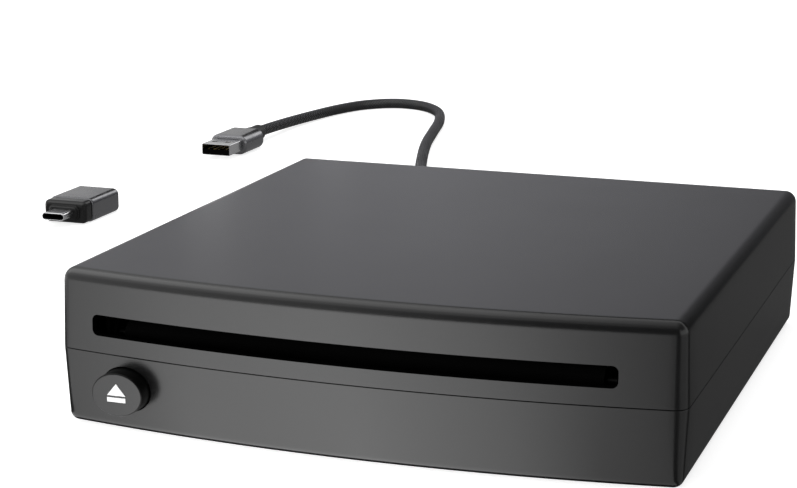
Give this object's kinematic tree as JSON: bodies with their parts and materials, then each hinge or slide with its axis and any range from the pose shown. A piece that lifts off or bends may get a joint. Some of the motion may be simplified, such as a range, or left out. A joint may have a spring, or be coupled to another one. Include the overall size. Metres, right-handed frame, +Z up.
{
  "type": "external car disc player",
  "caption": "Flat slot-loading disc player with a bowed front and oval eject button, a captive braided lead ending in a plug, and a slide-on adapter.",
  "frame": {"origin": "middle of the case, on the surface that its feet stand on", "axes": "+X to the right seen from the front, +Y from the slotted front to the back, +Z up"},
  "size_m": [0.2632, 0.4635, 0.038],
  "materials": {
    "case_plastic": "fine matte texture",
    "button_plastic": "satin cap",
    "white_print": "printed mark",
    "foot_rubber": "matte",
    "dark_screw": "blackened",
    "zinc_screw": "zinc plated",
    "sheet_steel": "plain sheet",
    "black_sheet": "black coated sheet",
    "black_plastic": "moulded",
    "ivory_plastic": "moulded",
    "board_green": "solder mask",
    "chip_black": "moulded package",
    "cap_grey": "sleeved can",
    "roller_rubber": "matte",
    "bright_shaft": "ground",
    "motor_can": "drawn can",
    "gear_plastic": "moulded",
    "brass_gear": "machined",
    "lens_glass": "coated",
    "cord_rubber": "moulded",
    "braid": "black braid",
    "plug_grey": "grey anodised",
    "plug_nickel": "nickel plated",
    "contact_gold": "plated"
  },
  "bodies": {
    "case": {"top_cover": "case_plastic", "bottom_case": "case_plastic", "rubber_feet": "foot_rubber", "case_screws": "dark_screw", "eject_switch": "black_plastic", "main_board": "board_green", "board_chips": "chip_black", "board_capacitors": "cap_grey", "board_screws": "zinc_screw", "lead_header": "ivory_plastic", "lead_tail": "cord_rubber", "flat_cable": "ivory_plastic", "cable_socket": "ivory_plastic", "drive_chassis": "black_sheet", "drive_cover": "black_sheet", "cover_screws": "zinc_screw", "dampers": "foot_rubber", "drive_screws": "zinc_screw", "disc_guide": "black_plastic", "roller_bushes": "black_plastic", "idler_stud": "bright_shaft", "loading_motor": "motor_can", "clamp_pin": "bright_shaft", "cord_gland": "cord_rubber", "braided_cord": "braid", "plug_boot": "cord_rubber", "plug_housing": "plug_grey", "plug_shell": "plug_nickel", "plug_tongue": "black_plastic", "plug_contacts": "contact_gold"},
    "button": {"eject_button": "button_plastic", "button_symbol": "white_print", "switch_plunger": "black_plastic"},
    "lever": {"sensor_lever": "black_plastic"},
    "roller": {"loading_roller": "roller_rubber", "roller_shaft": "dark_screw", "roller_gear": "gear_plastic"},
    "idler": {"idler_gear": "gear_plastic"},
    "pinion": {"motor_pinion": "brass_gear"},
    "cam": {"cam_slider": "gear_plastic"},
    "traverse": {"traverse_deck": "sheet_steel", "spindle_motor": "motor_can", "guide_rails": "bright_shaft", "sled_motor": "motor_can"},
    "spindle": {"turntable": "black_plastic"},
    "feed_screw": {"lead_screw": "bright_shaft"},
    "sled": {"pickup_sled": "black_plastic", "pickup_lens": "lens_glass"},
    "clamp": {"clamp_arm": "sheet_steel"},
    "puck": {"clamp_puck": "black_plastic"},
    "adapter": {"adapter_sleeve": "plug_grey", "adapter_core": "black_plastic", "adapter_nose": "black_plastic", "adapter_tip": "plug_nickel", "tip_tongue": "black_plastic", "socket_shell": "plug_nickel", "socket_tongue": "black_plastic"}
  },
  "joints": [
    {"name": "eject_press", "type": "slide", "parent": "case", "child": "button", "axis": [0, 1, 0], "range_m": [0, 0.001], "stiffness_N_per_m": 900, "springref_m": -0.0006},
    {"name": "lever_lift", "type": "hinge", "parent": "case", "child": "lever", "pos_m": [-0.0027, -0.051, 0.03016], "axis": [-1, 0, 0], "range_deg": [0, 12], "stiffness_Nm_per_rad": 0.004, "springref_deg": -11.46},
    {"name": "roller_spin", "type": "hinge", "parent": "case", "child": "roller", "pos_m": [-0.0027, -0.0625, 0.02138], "axis": [1, 0, 0], "continuous": true},
    {"name": "idler_spin", "type": "hinge", "parent": "case", "child": "idler", "pos_m": [-0.0027, -0.04989, 0.02291], "axis": [1, 0, 0], "continuous": true},
    {"name": "pinion_spin", "type": "hinge", "parent": "case", "child": "pinion", "pos_m": [-0.0027, -0.0415, 0.01595], "axis": [1, 0, 0], "continuous": true},
    {"name": "traverse_lift", "type": "slide", "parent": "case", "child": "traverse", "axis": [0, 0, 1], "range_m": [0, 0.0035], "deforming": ["flat_cable"]},
    {"name": "cam_slide", "type": "slide", "parent": "case", "child": "cam", "axis": [0, 1, 0], "range_m": [0, 0.0105]},
    {"name": "clamp_lower", "type": "hinge", "parent": "case", "child": "clamp", "pos_m": [-0.0027, 0.064, 0.02997], "axis": [1, 0, 0], "range_deg": [0, 1.43]},
    {"name": "spindle_spin", "type": "hinge", "parent": "traverse", "child": "spindle", "pos_m": [-0.0027, 0.004, 0.02], "axis": [0, 0, 1], "continuous": true},
    {"name": "puck_spin", "type": "hinge", "parent": "clamp", "child": "puck", "pos_m": [-0.0027, 0.004, 0.028], "axis": [0, 0, 1], "continuous": true},
    {"name": "sled_slide", "type": "slide", "parent": "traverse", "child": "sled", "axis": [0, 1, 0], "range_m": [0, 0.03]},
    {"name": "screw_spin", "type": "hinge", "parent": "traverse", "child": "feed_screw", "pos_m": [0.0223, 0.034, 0.01268], "axis": [0, 1, 0], "range_deg": [0, 3600.01]},
    {"name": "adapter_slide", "type": "slide", "parent": "case", "child": "adapter", "axis": [0, 1, 0], "range_m": [0, 0.1096]}
  ],
  "couplings": [
    {"joint": "idler_spin", "follows": "roller_spin", "ratio": -0.61538},
    {"joint": "pinion_spin", "follows": "roller_spin", "ratio": 1.6},
    {"joint": "cam_slide", "follows": "traverse_lift", "ratio": 3},
    {"joint": "clamp_lower", "follows": "traverse_lift", "rad_per_m": 7.1431},
    {"joint": "puck_spin", "follows": "spindle_spin", "ratio": 1},
    {"joint": "screw_spin", "follows": "sled_slide", "rad_per_m": 2094.4}
  ]
}
